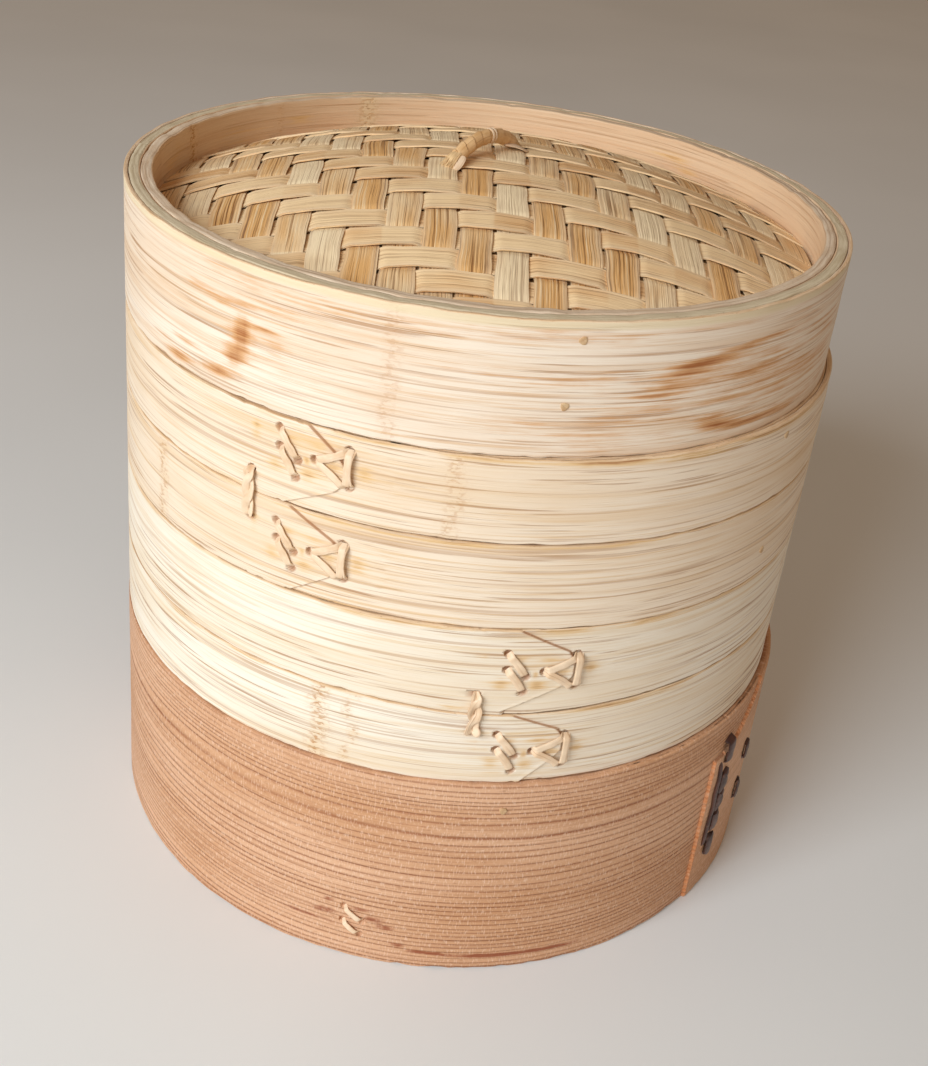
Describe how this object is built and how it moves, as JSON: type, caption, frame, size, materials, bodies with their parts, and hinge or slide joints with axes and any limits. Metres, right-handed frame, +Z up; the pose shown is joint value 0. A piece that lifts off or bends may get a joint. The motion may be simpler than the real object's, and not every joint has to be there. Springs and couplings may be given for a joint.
{
  "type": "stacked bamboo steamer",
  "caption": "Stacked round bamboo steamer: bentwood base basket, nesting bamboo tiers with slatted floors, and a hooped lid with a woven dome and bound handle.",
  "frame": {"origin": "on the table plane, at the centre of the base hoop's lower rim", "axes": "+Z up through the stack, -Y towards the front, where the tier laps are laced"},
  "size_m": [0.2596, 0.2594, 0.2682],
  "materials": {
    "bamboo_band": "sanded bamboo strip, fine lengthwise grain",
    "bamboo_inner": "bamboo ply, pale green-grey edges",
    "bamboo_lattice": "thin woven bamboo strip",
    "bamboo_peg": "whittled bamboo peg",
    "bamboo_slat": "split bamboo slat",
    "cedar_board": "bent softwood board, close growth lines",
    "cedar_hoop": "bent softwood hoop",
    "cherry_bark": "dark polished bark strip",
    "handle_bamboo": "bamboo, bent and frayed at its ends",
    "split_cane": "glossy split cane",
    "woven_bamboo": "twill of split bamboo strip"
  },
  "bodies": {
    "base": {"base_bark_stitches": "cherry_bark", "base_board": "cedar_board", "base_floor_ribs": "bamboo_slat", "base_floor_slats": "bamboo_slat", "base_foot_hoop": "cedar_hoop", "base_lacing": "split_cane", "base_lining_hoop": "cedar_hoop", "base_locating_hoop": "bamboo_inner", "base_pegs": "bamboo_peg", "base_rim_hoop": "cedar_hoop"},
    "lower_tier": {"lower_tier_bottom_band": "bamboo_band", "lower_tier_bottom_lacing": "split_cane", "lower_tier_core_hoop": "bamboo_inner", "lower_tier_floor_ribs": "bamboo_slat", "lower_tier_floor_ring": "bamboo_inner", "lower_tier_floor_slats": "bamboo_slat", "lower_tier_inner_hoop": "bamboo_inner", "lower_tier_locating_hoop": "bamboo_inner", "lower_tier_pegs": "bamboo_peg", "lower_tier_seam_ties": "split_cane", "lower_tier_top_band": "bamboo_band", "lower_tier_top_lacing": "split_cane"},
    "upper_tier": {"upper_tier_bottom_band": "bamboo_band", "upper_tier_bottom_lacing": "split_cane", "upper_tier_core_hoop": "bamboo_inner", "upper_tier_floor_ribs": "bamboo_slat", "upper_tier_floor_ring": "bamboo_inner", "upper_tier_floor_slats": "bamboo_slat", "upper_tier_inner_hoop": "bamboo_inner", "upper_tier_locating_hoop": "bamboo_inner", "upper_tier_pegs": "bamboo_peg", "upper_tier_seam_ties": "split_cane", "upper_tier_top_band": "bamboo_band", "upper_tier_top_lacing": "split_cane"},
    "lid": {"lid_clamp_hoop": "bamboo_inner", "lid_core_hoop": "bamboo_inner", "lid_dome_cross_ribs": "bamboo_slat", "lid_dome_lattice": "bamboo_lattice", "lid_dome_ribs": "bamboo_slat", "lid_handle_core": "handle_bamboo", "lid_handle_keeper": "handle_bamboo", "lid_handle_wrap": "split_cane", "lid_inner_hoop": "bamboo_inner", "lid_lacing": "split_cane", "lid_outer_hoop": "bamboo_band", "lid_pegs": "bamboo_peg", "lid_woven_dome": "woven_bamboo"}
  },
  "joints": [
    {"name": "lower_tier_lift", "type": "slide", "parent": "base", "child": "lower_tier", "axis": [0, 0, 1], "range_m": [0, 0.09]},
    {"name": "upper_tier_lift", "type": "slide", "parent": "lower_tier", "child": "upper_tier", "axis": [0, 0, 1], "range_m": [0, 0.09]},
    {"name": "lid_lift", "type": "slide", "parent": "upper_tier", "child": "lid", "axis": [0, 0, 1], "range_m": [0, 0.09]}
  ]
}
